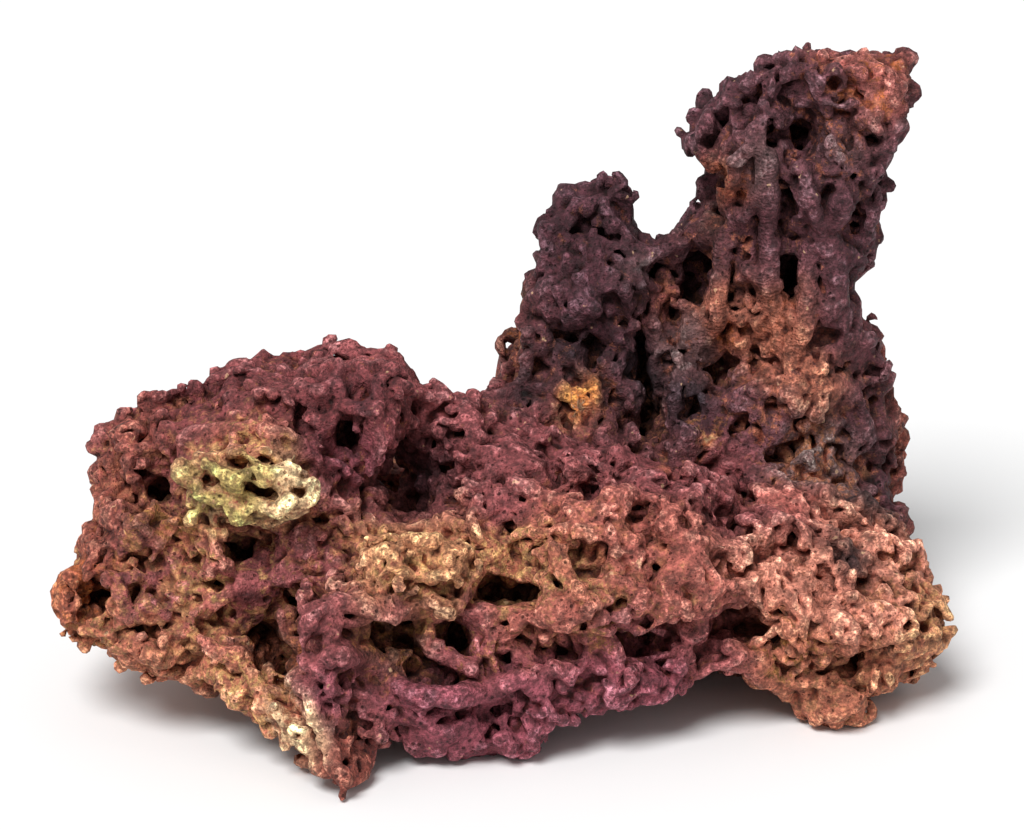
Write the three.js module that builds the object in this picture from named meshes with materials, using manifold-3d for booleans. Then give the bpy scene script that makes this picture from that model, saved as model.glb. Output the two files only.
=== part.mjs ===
// A reef rock: a low, cavernous front ridge with a domed left end, and a tall twin-peaked tower growing out
// of its back. It is one closed solid in millimetres, +Z up, +X to the right and +Y to the back, standing on
// the flat spots of its feet at z = 0.
//
// The rock is a field of masses that flow into each other, with hollows taken out and a weathered surface.
// Marching cubes turn the field into faces, and the feet are then cut off level. Places are given as they
// look from in front and a little above: across and up on a plane through the rock's middle, and back from it.
import * as THREE from "three";
import { ImprovedNoise } from "three/addons/math/ImprovedNoise.js";
import { MarchingCubes } from "three/addons/objects/MarchingCubes.js";
import { mergeVertices } from "three/addons/utils/BufferGeometryUtils.js";
import Module from "manifold-3d";

// Driving dimensions
const ROCK_LENGTH = 360; // overall, left tip to right tip
const VIEW_TILT = THREE.MathUtils.degToRad(20); // the front view looks down by this much
const VIEW_DISTANCE = 1536;
const VIEW_MIDDLE_HEIGHT = 119; // height of the point where across, up and back are all 0
const CELL = 9.5; // size of the marching cubes' cells
const FIELD_SIZE = 400; // side of the cube that the field fills
const BLEND = 7; // masses this close to each other flow together
const FULLNESS = 2.6; // 2 makes the masses ellipsoids, more makes them blockier
const HOLLOW_BLEND = 3; // roundness of a hollow's rim
const PIT_PITCH = 34; // one pit in every block of this size
const LEAST_PIT = 5;
const LARGEST_PIT = 12;
const PIT_DEPTH = 14; // no pit goes deeper into the rock than this
const PIT_WANDER = 0.8; // how far a pit strays in its block, as a share of the block
const PIT_SEED = 7;
const WAVES = [
  { length: 34, reach: 9 },
  { length: 17, reach: 5 },
]; // the weathering's waves: how long they are and how far they push the surface
const WAVE_SHIFTS = [0, 11, 23]; // keep the pushes along the three axes unlike each other
const FLOOR_SLAB = 60; // depth of the block that cuts the feet off level
const OUTSIDE = -1000; // a depth that is outside everything
const MOST_FACES = 60000; // room for the marching cubes' faces
const WELD = 0.001; // corners this close are one

const noise = new ImprovedNoise();

// The point that looks to be at (across, up) in the front view, at a depth behind the middle plane.
function seen(across, up, back) {
  const sin = Math.sin(VIEW_TILT);
  const cos = Math.cos(VIEW_TILT);
  const height = (up * (1 + (back * cos) / VIEW_DISTANCE) - back * sin) / (cos + (up * sin) / VIEW_DISTANCE);
  const nearness = (VIEW_DISTANCE + back * cos - height * sin) / VIEW_DISTANCE;
  return new THREE.Vector3(across * nearness, back, height + VIEW_MIDDLE_HEIGHT);
}

// Each row: across, up, back, half width, half depth, half height, and lean in degrees where it leans right.
const ridgeMasses = [
  [-113, -44, -5, 52, 54, 46], // left body
  [-79, 1, 5, 42, 44, 21], // left dome
  [-66, 5, 0, 26, 34, 15], // dome's crown
  [-139, -18, 0, 28, 32, 19, -18], // left shoulder
  [-112, -2, 4, 24, 30, 14], // between shoulder and dome
  [-43, -10, 10, 18, 28, 11, 30], // right side of the dome
  [-26, 1, 16, 9, 10, 8], // knob right of the dome
  [-150, -67, -26, 30, 36, 28], // lower left end
  [-126, -87, -33, 36, 32, 18, 18], // its underside
  [-30, -70, -28, 56, 48, 42], // middle
  [-8, -18, 16, 32, 34, 18], // middle's top
  [34, -28, 6, 36, 40, 20], // ridge's top
  [38, -62, -18, 56, 50, 42], // right of the middle
  [96, -70, -8, 52, 48, 32], // right body
  [140, -78, 0, 32, 42, 28], // right end
  [100, -62, 30, 60, 46, 38], // back of the right body
  [-60, -60, 40, 80, 50, 44], // back of the left body
  [-106, -24, -54, 28, 14, 10, 16], // pale shelf on the left body
  [-34, -76, -72, 48, 14, 7], // ledge across the middle
  [-16, -108, -70, 44, 16, 7], // rim below the ledge
  [36, -76, -66, 30, 12, 9, -20], // ledge's right end
];
const towerMasses = [
  [104, 0, 74, 46, 38, 44], // root of the tall peak
  [108, 60, 76, 35, 34, 50], // tall peak's shaft
  [112, 98, 74, 36, 32, 24, 12], // tall peak's shoulders
  [128, 124, 74, 27, 28, 24, 20], // tall peak's head
  [92, 120, 74, 26, 21, 14, -42], // head's left wing
  [148, 132, 72, 13, 16, 15], // head's right corner
  [81, 66, 76, 23, 24, 27, 30], // curtain between the peaks
  [58, 41, 74, 36, 32, 33], // saddle
  [27, 34, 72, 26, 32, 44], // low peak's body
  [22, 74, 72, 10, 18, 16], // low peak's left horn
  [36, 82, 72, 9, 14, 17, 15], // low peak's right horn
  [11, 12, 66, 17, 26, 24], // low peak's left foot
  [60, -6, 62, 60, 36, 34], // tower's root
  [140, -10, 74, 17, 28, 34], // tower's right foot
  [146, 30, 74, 8, 20, 13], // spur on the tower's right side
  [90, -52, 84, 56, 42, 44], // tower's base on the floor
];
const footMasses = [
  [-72, -112, -82, 14, 20, 32, -12], // curtain above the front foot
  [-65, -139, -94, 9, 13, 13], // front foot
  [-94, -117, -70, 26, 20, 10, 32], // spur left of it
  [-26, -118, -70, 18, 18, 19], // left middle lobe
  [2, -122, -68, 13, 16, 16], // right middle lobe
  [40, -106, -50, 27, 20, 13], // lobe under the ridge
  [131, -106, -28, 16, 26, 17], // right foot
  [-110, -96, 60, 34, 30, 34], // back left foot
];

const hollows = [
  // On the left end
  [-65, -8, -42, 8, 22, 9],
  [-141, -30, -46, 12, 26, 8],
  [-101, -56, -60, 10, 24, 8],
  [-90, -98, -78, 10, 30, 15, 20],
  [-166, -74, -50, 8, 18, 8],
  [-133, -62, -60, 9, 18, 6],
  // The valley right of the dome
  [-36, -28, -24, 16, 34, 16, -20],
  // Under the middle ledge
  [-3, -69, -76, 16, 30, 8],
  [-24, -91, -86, 36, 24, 9],
  [-26, -90, -76, 12, 26, 9],
  [-46, -84, -74, 7, 24, 8],
  // On the right
  [32, -31, -50, 9, 24, 9],
  [92, -38, -40, 9, 26, 14],
  [90, -86, -54, 16, 26, 8],
  [54, -90, -62, 10, 24, 8],
  [84, -106, -40, 10, 30, 8],
  [58, -60, -66, 8, 18, 7],
  [136, -98, -40, 9, 20, 7],
  [126, -72, -42, 9, 18, 7],
  // In the tower
  [73, 55, 40, 9, 34, 15],
  [112, 58, 38, 8, 26, 12],
  [115, 110, 42, 7, 24, 8],
  [55, 10, 32, 8, 26, 26],
  [86, 12, 28, 9, 24, 10],
  [30, 78, 50, 7, 20, 7],
  [66, 36, 42, 7, 20, 8],
];

// A mass or hollow with its place worked out, ready to measure distances from.
function placed([across, up, back, halfWidth, halfDepth, halfHeight, lean = 0]) {
  const angle = THREE.MathUtils.degToRad(lean);
  return {
    middle: seen(across, up, back),
    size: new THREE.Vector3(halfWidth, halfDepth, halfHeight),
    least: Math.min(halfWidth, halfDepth, halfHeight),
    sin: Math.sin(angle),
    cos: Math.cos(angle),
  };
}

// Roughly how far (x, y, z) lies inside a mass or hollow: negative outside.
function depthIn({ middle, size, least, sin, cos }, x, y, z) {
  const dx = x - middle.x;
  const dz = z - middle.z;
  const across = Math.abs(dx * cos - dz * sin) / size.x;
  const back = Math.abs(y - middle.y) / size.y;
  const up = Math.abs(dx * sin + dz * cos) / size.z;
  const share = (across ** FULLNESS + back ** FULLNESS + up ** FULLNESS) ** (1 / FULLNESS);
  return (1 - share) * least;
}

// The larger of two depths, flowing over from one to the other within a distance.
function smoothMax(a, b, within) {
  const near = Math.max(within - Math.abs(a - b), 0) / within;
  return Math.max(a, b) + (near * near * within) / 4;
}

// A point pushed about by waves, so that the masses look weathered and not round.
function weathered(x, y, z) {
  const wave = (length, shift) => noise.noise(x / length + shift, y / length + shift, z / length);
  const push = (shift) => WAVES.reduce((sum, { length, reach }) => sum + reach * wave(length, shift), 0);
  const [pushX, pushY, pushZ] = WAVE_SHIFTS.map(push);
  return [x + pushX, y + pushY, z + pushZ];
}

// Where the pits of the worn surface lie: one in each block of the field, somewhere near its middle.
function pitsOf() {
  const pits = new Map();
  const blocks = Math.ceil(FIELD_SIZE / PIT_PITCH / 2) + 1;
  for (let k = -blocks; k <= blocks; k++)
    for (let j = -blocks; j <= blocks; j++)
      for (let i = -blocks; i <= blocks; i++) {
        const draws = Array.from({ length: 4 }, () => THREE.MathUtils.seededRandom());
        const [strayX, strayY, strayZ, size] = draws;
        const stray = new THREE.Vector3(strayX, strayY, strayZ).multiplyScalar(PIT_WANDER);
        const middle = new THREE.Vector3(i, j, k).add(stray).multiplyScalar(PIT_PITCH);
        const radius = THREE.MathUtils.lerp(LEAST_PIT, LARGEST_PIT, size);
        pits.set([i, j, k].join(), { middle, radius });
      }
  return pits;
}

const masses = [...ridgeMasses, ...towerMasses, ...footMasses].map(placed);
const cavities = hollows.map(placed);
THREE.MathUtils.seededRandom(PIT_SEED);
const pits = pitsOf();

// Roughly how far (x, y, z) lies inside the nearest pit: negative outside.
function depthInPit(x, y, z) {
  const at = new THREE.Vector3(x, y, z);
  const [ci, cj, ck] = [x, y, z].map((value) => Math.floor(value / PIT_PITCH));
  let deepest = OUTSIDE;
  for (let k = ck - 1; k <= ck + 1; k++)
    for (let j = cj - 1; j <= cj + 1; j++)
      for (let i = ci - 1; i <= ci + 1; i++) {
        const pit = pits.get([i, j, k].join());
        if (pit) deepest = Math.max(deepest, pit.radius - at.distanceTo(pit.middle));
      }
  return deepest;
}

function depthInRock(x, y, z) {
  const [wx, wy, wz] = weathered(x, y, z);
  const inMasses = masses
    .map((mass) => depthIn(mass, wx, wy, wz))
    .reduce((deepest, depth) => smoothMax(deepest, depth, BLEND), OUTSIDE);
  const inHollows = Math.max(...cavities.map((cavity) => depthIn(cavity, x, y, z)));
  const inPits = Math.min(depthInPit(wx, wy, wz), PIT_DEPTH - inMasses);
  return -smoothMax(-inMasses, Math.max(inHollows, inPits), HOLLOW_BLEND);
}

// The surface of the field as a list of triangle corners.
function facesOfField() {
  const count = Math.round(FIELD_SIZE / CELL);
  const cubes = new MarchingCubes(count, undefined, false, false, MOST_FACES);
  const half = FIELD_SIZE / 2;
  const along = (i) => ((i - count / 2) / (count / 2)) * half;
  cubes.isolation = 0;
  for (let k = 0; k < count; k++)
    for (let j = 0; j < count; j++)
      for (let i = 0; i < count; i++) {
        const place = i + count * (j + count * k);
        cubes.field[place] = depthInRock(along(i), along(j), along(k) + VIEW_MIDDLE_HEIGHT);
      }
  cubes.update();
  const corners = cubes.geometry.getAttribute("position").array.slice(0, cubes.count * 3);
  const faces = new THREE.BufferGeometry().setAttribute("position", new THREE.BufferAttribute(corners, 3));
  faces.scale(half, half, half);
  faces.translate(0, 0, VIEW_MIDDLE_HEIGHT);
  return faces;
}

const wasm = await Module();
wasm.setup();

function solid(geometry) {
  const bare = new THREE.BufferGeometry().setAttribute("position", geometry.getAttribute("position"));
  const merged = mergeVertices(bare, WELD);
  return new wasm.Manifold(
    new wasm.Mesh({
      numProp: 3,
      vertProperties: new Float32Array(merged.attributes.position.array),
      triVerts: new Uint32Array(merged.index.array),
    }),
  );
}

// The rock with its feet cut off level, without any crumb that the hollows cut loose.
function standing() {
  const slab = new THREE.BoxGeometry(2 * ROCK_LENGTH, 2 * ROCK_LENGTH, FLOOR_SLAB);
  slab.translate(0, 0, -FLOOR_SLAB / 2);
  const stood = solid(facesOfField()).subtract(solid(slab.toNonIndexed()));
  return stood.decompose().reduce((a, b) => (a.volume() > b.volume() ? a : b));
}

function meshOf(manifold, name, material) {
  const { numProp, vertProperties, triVerts } = manifold.getMesh();
  const corners = new Float32Array(triVerts.length * 3);
  triVerts.forEach((v, i) => corners.set(vertProperties.subarray(v * numProp, v * numProp + 3), i * 3));
  const geometry = new THREE.BufferGeometry();
  geometry.setAttribute("position", new THREE.BufferAttribute(corners, 3));
  geometry.computeVertexNormals();
  const mesh = new THREE.Mesh(geometry, material);
  mesh.name = name;
  return mesh;
}

const crust = new THREE.MeshStandardMaterial({ color: 0x8a5560, roughness: 0.9, metalness: 0 });
const rock = meshOf(standing(), "reef_rock", crust);
rock.geometry.computeBoundingBox();
const box = rock.geometry.boundingBox;
rock.geometry.translate(-(box.min.x + box.max.x) / 2, -(box.min.y + box.max.y) / 2, -box.min.z);
rock.geometry.scale(...Array(3).fill(ROCK_LENGTH / (box.max.x - box.min.x)));

const group = new THREE.Group();
group.add(rock);
export default group;
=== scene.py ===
import math

import bmesh
import bpy
import numpy as np
import openvdb
from mathutils import Matrix, Vector
from mathutils.bvhtree import BVHTree
from mathutils.kdtree import KDTree


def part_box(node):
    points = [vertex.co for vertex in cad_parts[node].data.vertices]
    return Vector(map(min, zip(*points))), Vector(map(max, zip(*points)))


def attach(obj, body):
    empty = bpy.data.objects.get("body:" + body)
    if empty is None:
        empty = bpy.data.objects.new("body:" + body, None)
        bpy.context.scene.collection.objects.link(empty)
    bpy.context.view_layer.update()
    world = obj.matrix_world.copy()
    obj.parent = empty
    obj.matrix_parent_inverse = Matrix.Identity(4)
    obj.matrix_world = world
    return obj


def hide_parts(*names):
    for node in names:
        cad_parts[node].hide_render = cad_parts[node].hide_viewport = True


SEED = 41
MM = 0.001

# The view: the camera looks along +Y and down, at the point of the rock that is at the picture's middle
VIEW_TILT = math.radians(20)
VIEW_DISTANCE = 1.5345
VIEW_MIDDLE = Vector((0.00307, -0.00727, 0.11888))
LENS = 135.0
SENSOR = 36.0
PICTURE_MIDDLE = (512.0, 415.0)  # in pixels of the 1024 × 830 view
PIXEL = 0.0003996  # the rock's metres for each pixel of the view, at the picture's middle

# The grid that the crust is worked out on
GRAIN = 1.05 * MM
MARGIN = 12 * MM
BAND = 14 * MM  # on each side of the model's surface, where distances are exact
FORM_BLUR = 3 * MM  # evens out the model's facets
MOST_TRIANGLES = 192000
THIN_MORE = 2e-5  # how much sooner the far side is thinned than the side in view

# Hollows that the view shows. Each row: x and y in the view's pixels, half width and half height in
# pixels, depth in millimetres, and how far it is turned clockwise in degrees.
HOLLOWS = [
    # wide recesses that hold smaller ones
    (418, 640, 60, 22, 13, 10), (440, 672, 46, 16, 13, 8), (432, 591, 48, 9, 9, 3),
    (404, 482, 24, 36, 12, 0), (275, 650, 26, 36, 13, -15), (586, 560, 19, 22, 11, 0),
    (560, 652, 26, 14, 8, 0), (640, 645, 34, 18, 8, 0), (750, 630, 40, 15, 10, 5),
    (595, 490, 20, 20, 8, 0), (718, 505, 18, 22, 7, 0), (650, 520, 20, 20, 6, 0),
    (500, 520, 22, 20, 7, 0), (345, 535, 22, 20, 7, 0), (178, 500, 44, 18, 11, 25),
    (240, 548, 26, 16, 8, 0), (150, 560, 30, 12, 5, 0), (95, 600, 22, 20, 7, 0), (200, 650, 34, 10, 5, 0),
    (820, 590, 20, 14, 6, 0), (880, 590, 20, 12, 5, 0), (850, 640, 20, 12, 6, 0),
    (810, 680, 34, 14, 6, 0), (340, 445, 18, 20, 8, 0), (465, 440, 20, 14, 8, 0),
    (545, 475, 20, 18, 7, 0), (731, 566, 22, 17, 9, 0), (788, 541, 16, 14, 6, 0), (470, 705, 40, 9, 4, 0),
    (570, 700, 24, 9, 5, 0), (650, 460, 26, 9, 5, 0), (268, 410, 25, 17, 8, 0),
    # the dome and the valley right of it
    (347, 433, 14, 18, 26, 0), (357, 384, 15, 22, 8, 0), (316, 411, 4, 5, 8, 0), (402, 424, 10, 15, 8, 0),
    (416, 500, 13, 16, 20, -15), (438, 411, 9, 5, 9, 0), (458, 431, 7, 6, 10, 0), (450, 467, 9, 8, 12, 0),
    (408, 450, 9, 13, 8, 0), (328, 473, 9, 4, 8, -20), (430, 445, 6, 5, 10, 0), (478, 470, 5, 7, 9, 0),
    # the left end
    (160, 489, 14, 14, 24, 0), (206, 512, 15, 6, 16, 25), (308, 482, 13, 6, 16, 30),
    (243, 547, 16, 12, 24, 0), (107, 449, 12, 15, 8, 0), (114, 462, 5, 4, 12, 0), (133, 437, 7, 4, 8, 0),
    (100, 532, 5, 5, 8, 0), (134, 558, 10, 6, 12, 0), (153, 554, 3, 4, 7, 0), (193, 558, 8, 5, 11, 0),
    (176, 538, 4, 4, 8, 0), (202, 540, 4, 3, 8, 0), (218, 550, 10, 8, 6, 0), (216, 581, 11, 10, 20, 0),
    (99, 599, 16, 14, 16, 0), (108, 598, 8, 9, 24, 0), (77, 581, 5, 5, 9, 0), (76, 627, 6, 5, 9, 0),
    (105, 645, 11, 4, 9, 0), (138, 630, 11, 5, 9, 0), (177, 624, 6, 5, 9, 0), (154, 654, 3, 3, 7, 0),
    (220, 661, 9, 4, 9, 0), (189, 661, 4, 4, 7, 0), (234, 675, 3, 3, 7, 0), (277, 537, 3, 3, 6, 0),
    (165, 600, 9, 6, 7, 0),
    # the cleft left of the front foot
    (294, 600, 8, 14, 22, -50), (309, 595, 9, 16, 18, 0), (262, 634, 18, 8, 24, 0),
    (284, 652, 14, 15, 30, 0), (260, 666, 6, 9, 16, 0), (302, 692, 7, 10, 18, 0),
    (248, 700, 10, 5, 10, 30), (270, 707, 3, 3, 8, 0), (236, 718, 9, 4, 8, 0), (314, 739, 9, 6, 10, 30),
    (346, 760, 4, 5, 9, 0), (333, 711, 4, 4, 9, 0), (314, 637, 4, 5, 9, 0), (340, 676, 4, 9, 9, 0),
    (321, 690, 3, 8, 8, 0), (337, 728, 7, 5, 5, 0),
    # under the ledge
    (414, 621, 13, 4, 18, 0), (458, 637, 15, 18, 26, 0), (378, 651, 8, 8, 18, 0), (406, 641, 6, 4, 14, 0),
    (454, 679, 22, 6, 16, 8), (426, 671, 5, 5, 12, 0), (351, 635, 12, 6, 8, 0), (446, 723, 7, 4, 9, 0),
    (461, 716, 4, 3, 6, 0), (390, 569, 4, 4, 8, 0), (395, 588, 12, 5, 10, -20), (455, 591, 8, 7, 14, 0),
    (417, 591, 4, 3, 8, 0), (435, 579, 3, 4, 8, 0), (320, 519, 8, 5, 10, 0), (344, 547, 4, 14, 10, 0),
    (364, 538, 6, 6, 11, 0), (417, 541, 8, 5, 11, 15), (450, 538, 7, 3, 7, -25), (469, 543, 5, 5, 9, 0),
    (380, 550, 4, 6, 8, 0), (463, 517, 6, 4, 8, 0), (500, 701, 13, 8, 16, -25),
    (506, 659, 7, 13, 15, -20), (515, 674, 4, 4, 9, 0), (556, 653, 19, 7, 15, 10), (548, 682, 9, 3, 7, 0),
    (516, 725, 10, 10, 7, 0), (493, 722, 5, 15, 13, 0), (583, 628, 4, 4, 8, 0),
    # the middle and the right of the ridge
    (507, 592, 36, 14, 28, 10), (557, 585, 6, 14, 16, -15), (574, 543, 9, 5, 14, 0),
    (603, 551, 6, 7, 12, 0), (623, 598, 8, 9, 14, 0), (648, 633, 10, 12, 20, 0), (661, 660, 9, 8, 14, 0),
    (614, 636, 9, 4, 10, 0), (626, 682, 8, 5, 10, 0), (592, 494, 11, 15, 16, 0), (563, 484, 5, 7, 12, 0),
    (633, 470, 6, 8, 12, 0), (611, 466, 4, 6, 9, 0), (526, 501, 8, 5, 12, 0), (553, 471, 8, 12, 14, -25),
    (510, 529, 9, 12, 15, 0), (638, 511, 10, 10, 13, 0), (747, 500, 8, 23, 24, -10),
    (743, 532, 12, 11, 22, 0), (788, 541, 9, 9, 14, 0), (718, 500, 8, 9, 13, 0), (704, 527, 5, 7, 11, 0),
    (685, 525, 6, 6, 8, 0), (733, 580, 9, 5, 14, 0), (655, 566, 4, 12, 11, 30), (908, 569, 10, 5, 12, 0),
    (817, 594, 7, 8, 13, 0), (780, 601, 4, 9, 12, 0), (750, 634, 25, 10, 18, 5), (692, 645, 11, 4, 10, 0),
    (676, 635, 5, 5, 9, 0), (715, 633, 5, 4, 9, 0), (820, 640, 9, 4, 9, 0), (860, 657, 11, 5, 9, 35),
    (882, 640, 6, 6, 10, 0), (905, 630, 6, 6, 9, 0), (823, 679, 9, 11, 14, 0), (859, 688, 8, 6, 12, 0),
    (781, 670, 5, 4, 9, 0), (765, 675, 4, 3, 8, 0), (838, 551, 5, 12, 11, -55), (807, 651, 4, 3, 7, 0),
    (845, 600, 5, 7, 7, 0), (880, 560, 6, 5, 7, 0),
    # the tower's foot
    (646, 418, 11, 20, 24, 0), (621, 426, 9, 8, 12, 0), (692, 405, 10, 16, 18, 0),
    (745, 426, 16, 7, 14, 0), (808, 446, 4, 9, 9, 0), (846, 435, 6, 8, 9, 0), (778, 458, 12, 6, 12, 0),
    (838, 483, 7, 7, 9, 0), (774, 402, 6, 6, 9, 0), (875, 405, 8, 9, 10, 0), (816, 396, 3, 3, 7, 0),
    (890, 470, 6, 8, 9, 0),
    # the tower's body, and its left edge
    (704, 101, 12, 10, 30, 0), (695, 165, 11, 12, 30, 0), (697, 279, 15, 34, 16, 3),
    (731, 272, 5, 15, 12, 0), (790, 272, 11, 28, 24, 0), (799, 136, 10, 18, 16, 0),
    (769, 136, 6, 17, 13, 0), (787, 207, 7, 38, 14, 0), (825, 200, 12, 20, 7, 0), (857, 206, 6, 8, 10, 0),
    (853, 226, 4, 8, 9, 0), (755, 95, 13, 8, 10, 0), (843, 106, 6, 6, 9, 0), (870, 143, 6, 7, 9, 0),
    (853, 175, 4, 4, 7, 0), (718, 218, 9, 5, 9, 0), (755, 209, 5, 7, 10, 0), (722, 178, 9, 12, 7, 0),
    (579, 228, 10, 10, 14, 0), (600, 235, 8, 10, 12, 0), (572, 256, 7, 7, 9, 0), (618, 252, 10, 8, 14, 0),
    (580, 339, 26, 7, 14, 0), (595, 357, 8, 14, 12, 0), (671, 313, 8, 9, 12, 0), (724, 331, 9, 7, 14, 0),
    (745, 328, 6, 7, 12, 0), (752, 298, 5, 12, 11, 0), (645, 364, 9, 54, 26, 0), (760, 354, 7, 12, 12, 0),
    (836, 367, 6, 5, 8, 0), (655, 268, 7, 11, 14, 0), (540, 372, 9, 12, 10, 0), (612, 300, 8, 6, 9, 0),
]

# The same for small hollows that go through ribs, ledges and drapes
PITS = [
    (228, 461, 18, 6, 13, 30), (267, 458, 13, 6, 13, 12), (262, 489, 20, 6, 13, 24),
    (209, 478, 7, 5, 9, 20), (446, 723, 7, 4, 9, 0), (333, 711, 4, 4, 8, 0), (314, 637, 4, 5, 8, 0),
    (340, 676, 4, 8, 8, 0), (415, 706, 5, 3, 5, 0), (461, 716, 4, 3, 6, 0), (347, 759, 4, 5, 8, 0),
    (506, 624, 4, 3, 7, 0), (531, 627, 6, 3, 7, 0), (350, 616, 5, 3, 6, 0), (390, 622, 4, 3, 7, 0),
    (826, 612, 3, 4, 6, 0), (798, 132, 11, 15, 16, 0), (769, 134, 6, 15, 13, 0), (787, 205, 6, 34, 14, 0),
    (790, 272, 9, 26, 24, 0), (695, 281, 14, 34, 17, 3), (734, 276, 4, 13, 12, 0),
    (507, 592, 30, 12, 26, 10), (458, 637, 12, 15, 24, 0),
]

# Struts and columns that stand free in front of hollows, each as a radius in millimetres and the view's
# pixels that it runs through.
STRUTS = [
    (2.4, [(279, 616), (305, 657)]),
    (2.2, [(268, 664), (278, 695)]),
    (1.6, [(306, 578), (303, 612)]),
    (3.3, [(430, 618), (422, 636), (431, 650), (447, 658), (474, 671)]),
    (3.5, [(552, 545), (562, 566), (572, 590)]),
    (2.2, [(547, 574), (554, 604)]),
    (2.8, [(721, 238), (720, 278), (718, 322)]),
    (3.2, [(808, 252), (807, 285), (806, 325)]),
]

# Ribs on the surface of the ridge, each as a radius in millimetres and the view's pixels that it runs
# through.
RIBS = [
    (3.4, [(505, 684), (540, 676), (579, 665)]),
    (3.6, [(309, 624), (301, 652), (296, 669), (309, 697), (323, 731), (343, 781)]),
    (4.4, [(818, 587), (830, 605), (843, 630), (843, 653)]),
    (4.0, [(729, 646), (758, 671), (802, 700), (840, 712)]),
    (3.0, [(470, 574), (505, 572), (540, 580)]),
    (3.2, [(200, 640), (240, 660), (268, 700), (300, 735), (330, 770)]),
    (3.6, [(185, 437), (225, 430), (270, 433), (308, 452)]),
    (4.6, [(180, 470), (205, 492), (240, 508), (290, 503)]),
    (4.0, [(210, 466), (250, 478), (296, 474)]),
    (2.8, [(690, 470), (735, 465), (775, 480), (800, 505)]),
    (2.6, [(600, 505), (612, 535), (618, 560)]),
    (2.6, [(662, 500), (668, 530), (655, 560)]),
    (2.8, [(372, 560), (420, 545), (470, 555)]),
    (2.6, [(342, 405), (372, 412), (384, 440), (372, 470)]),
]

# The same for smoother and more even ones: the ledge over the ridge's cave, the rim under it, and the
# drapes of the tower
DRAPES = [
    (4.2, [(321, 609), (367, 606), (391, 610), (433, 612), (467, 615)]),
    (3.8, [(467, 615), (490, 623), (520, 623), (545, 617), (562, 606)]),
    (4.2, [(340, 657), (367, 656), (381, 666), (398, 688), (422, 696), (455, 698), (484, 691), (505, 684)]),
    (2.6, [(752, 143), (738, 160), (735, 181), (727, 204), (705, 222), (672, 238)]),
    (2.4, [(625, 250), (664, 250), (698, 242), (727, 230), (747, 209), (757, 190)]),
    (2.6, [(738, 267), (758, 273), (778, 285)]),
    (3.0, [(781, 248), (810, 243), (847, 251), (862, 262)]),
    (2.8, [(750, 134), (762, 121), (790, 116), (812, 118), (840, 128)]),
    (3.4, [(800, 165), (808, 195), (820, 225)]),
    (5.0, [(872, 262), (878, 290), (880, 325)]),
]

# Columns with fine rings, each as a radius in millimetres and the view's pixels that it runs through
RINGED = [
    (4.4, [(764, 138), (766, 165), (768, 192), (770, 227), (768, 264), (767, 292)]),
    (3.6, [(808, 252), (807, 285), (806, 325), (800, 350)]),
    (3.2, [(722, 238), (720, 278), (718, 322), (706, 345)]),
]

# Smooth spots of the crust, each as x, y and radius in the view's pixels
SMOOTH = [
    (357, 384, 20), (350, 405, 12), (372, 440, 12), (248, 590, 16), (250, 612, 10), (190, 423, 13),
    (136, 571, 12), (318, 690, 14), (322, 745, 12), (350, 775, 14), (795, 335, 22), (735, 315, 10),
    (345, 620, 14), (425, 735, 14), (460, 738, 16), (560, 500, 8), (676, 563, 17), (790, 690, 18),
    (843, 702, 12), (775, 505, 10), (840, 620, 10), (690, 330, 12), (742, 178, 8), (724, 214, 9),
    (700, 234, 9), (678, 243, 7), (784, 140, 6), (865, 360, 10), (875, 300, 10), (560, 215, 12),
    (700, 300, 6), (440, 640, 8), (520, 460, 12), (660, 490, 10),
]
RING_PITCH = 1.7 * MM
CHANNEL = 1.6  # the width of the channel that a ringed column stands in, in widths of the column

# Noise that breaks up the form: the length of its waves, how far it pushes the surface out, and how far
# the whole is set back again
SWELL_LENGTH = 20 * MM
SWELL_HEIGHT = 2.4 * MM
FLUTES = (4.2 * MM, 5 * MM, 1.8 * MM)  # on the tower, drawn out upwards
FLUTE_STRETCH = (1, 1, 8)
HEAPS = (8 * MM, 6.5 * MM, 2.4 * MM)
CRUMBS = (3.0 * MM, 3.4 * MM, 0.9 * MM)

# Stretched balls strewn over the rock. Each: how many, their least and greatest radius in millimetres, how
# long they are and how deep they sit in their own radii, and how soft their rims are in millimetres
CAVITIES = (520, (3.0, 7.5), (0.7, 1.6), (-0.2, 0.6), 1.2)
NODULES = (450, (2.6, 5.0), (0.7, 1.2), (0.4, 0.9), 2.0)
BUBBLES = (1300, (1.8, 4.2), (0.7, 2.2), (-0.1, 0.8), 0.7)
KNOBS = (2200, (1.6, 3.4), (0.6, 1.4), (0.4, 0.9), 0.6)
PORES = (2000, (1.3, 2.6), (0.8, 2.4), (0.0, 0.8), 0.4)
PINHOLES = (1500, (1.1, 2.3), (0.8, 2.8), (0.0, 0.7), 0.3)
PORE_DEPTH = 8 * MM  # how far under the form's surface bubbles and pores may start
KNOB_DEPTH = 3.5 * MM  # the same for knobs

# Nothing of the rock may be thinner than this spread leaves at this share of fullness
THIN_SPREAD = 1.6 * MM
THIN_SHARE = 0.36

# The colours that the crust and the bare rock take, as they are in daylight
COLOURS = {
    "mauve": "824446", "dusty pink": "9a554b", "purple": "82424c", "plum": "47272e", "tan": "b37a58",
    "yellow tan": "c89a64", "moss": "a89258", "orange": "b4622e", "cream": "e0b88e", "rust": "7a3a20",
    "red brown": "7c4036", "brown": "543024", "ink": "221a20", "grey": "6c5250", "salmon": "a8644e",
    "ochre": "946636", "dark purple": "583238", "pink": "aa5e55", "dark mauve": "6c3436",
    "light pink": "c8806c", "bright orange": "e08a44", "pale": "f4d2a4",
}

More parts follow.
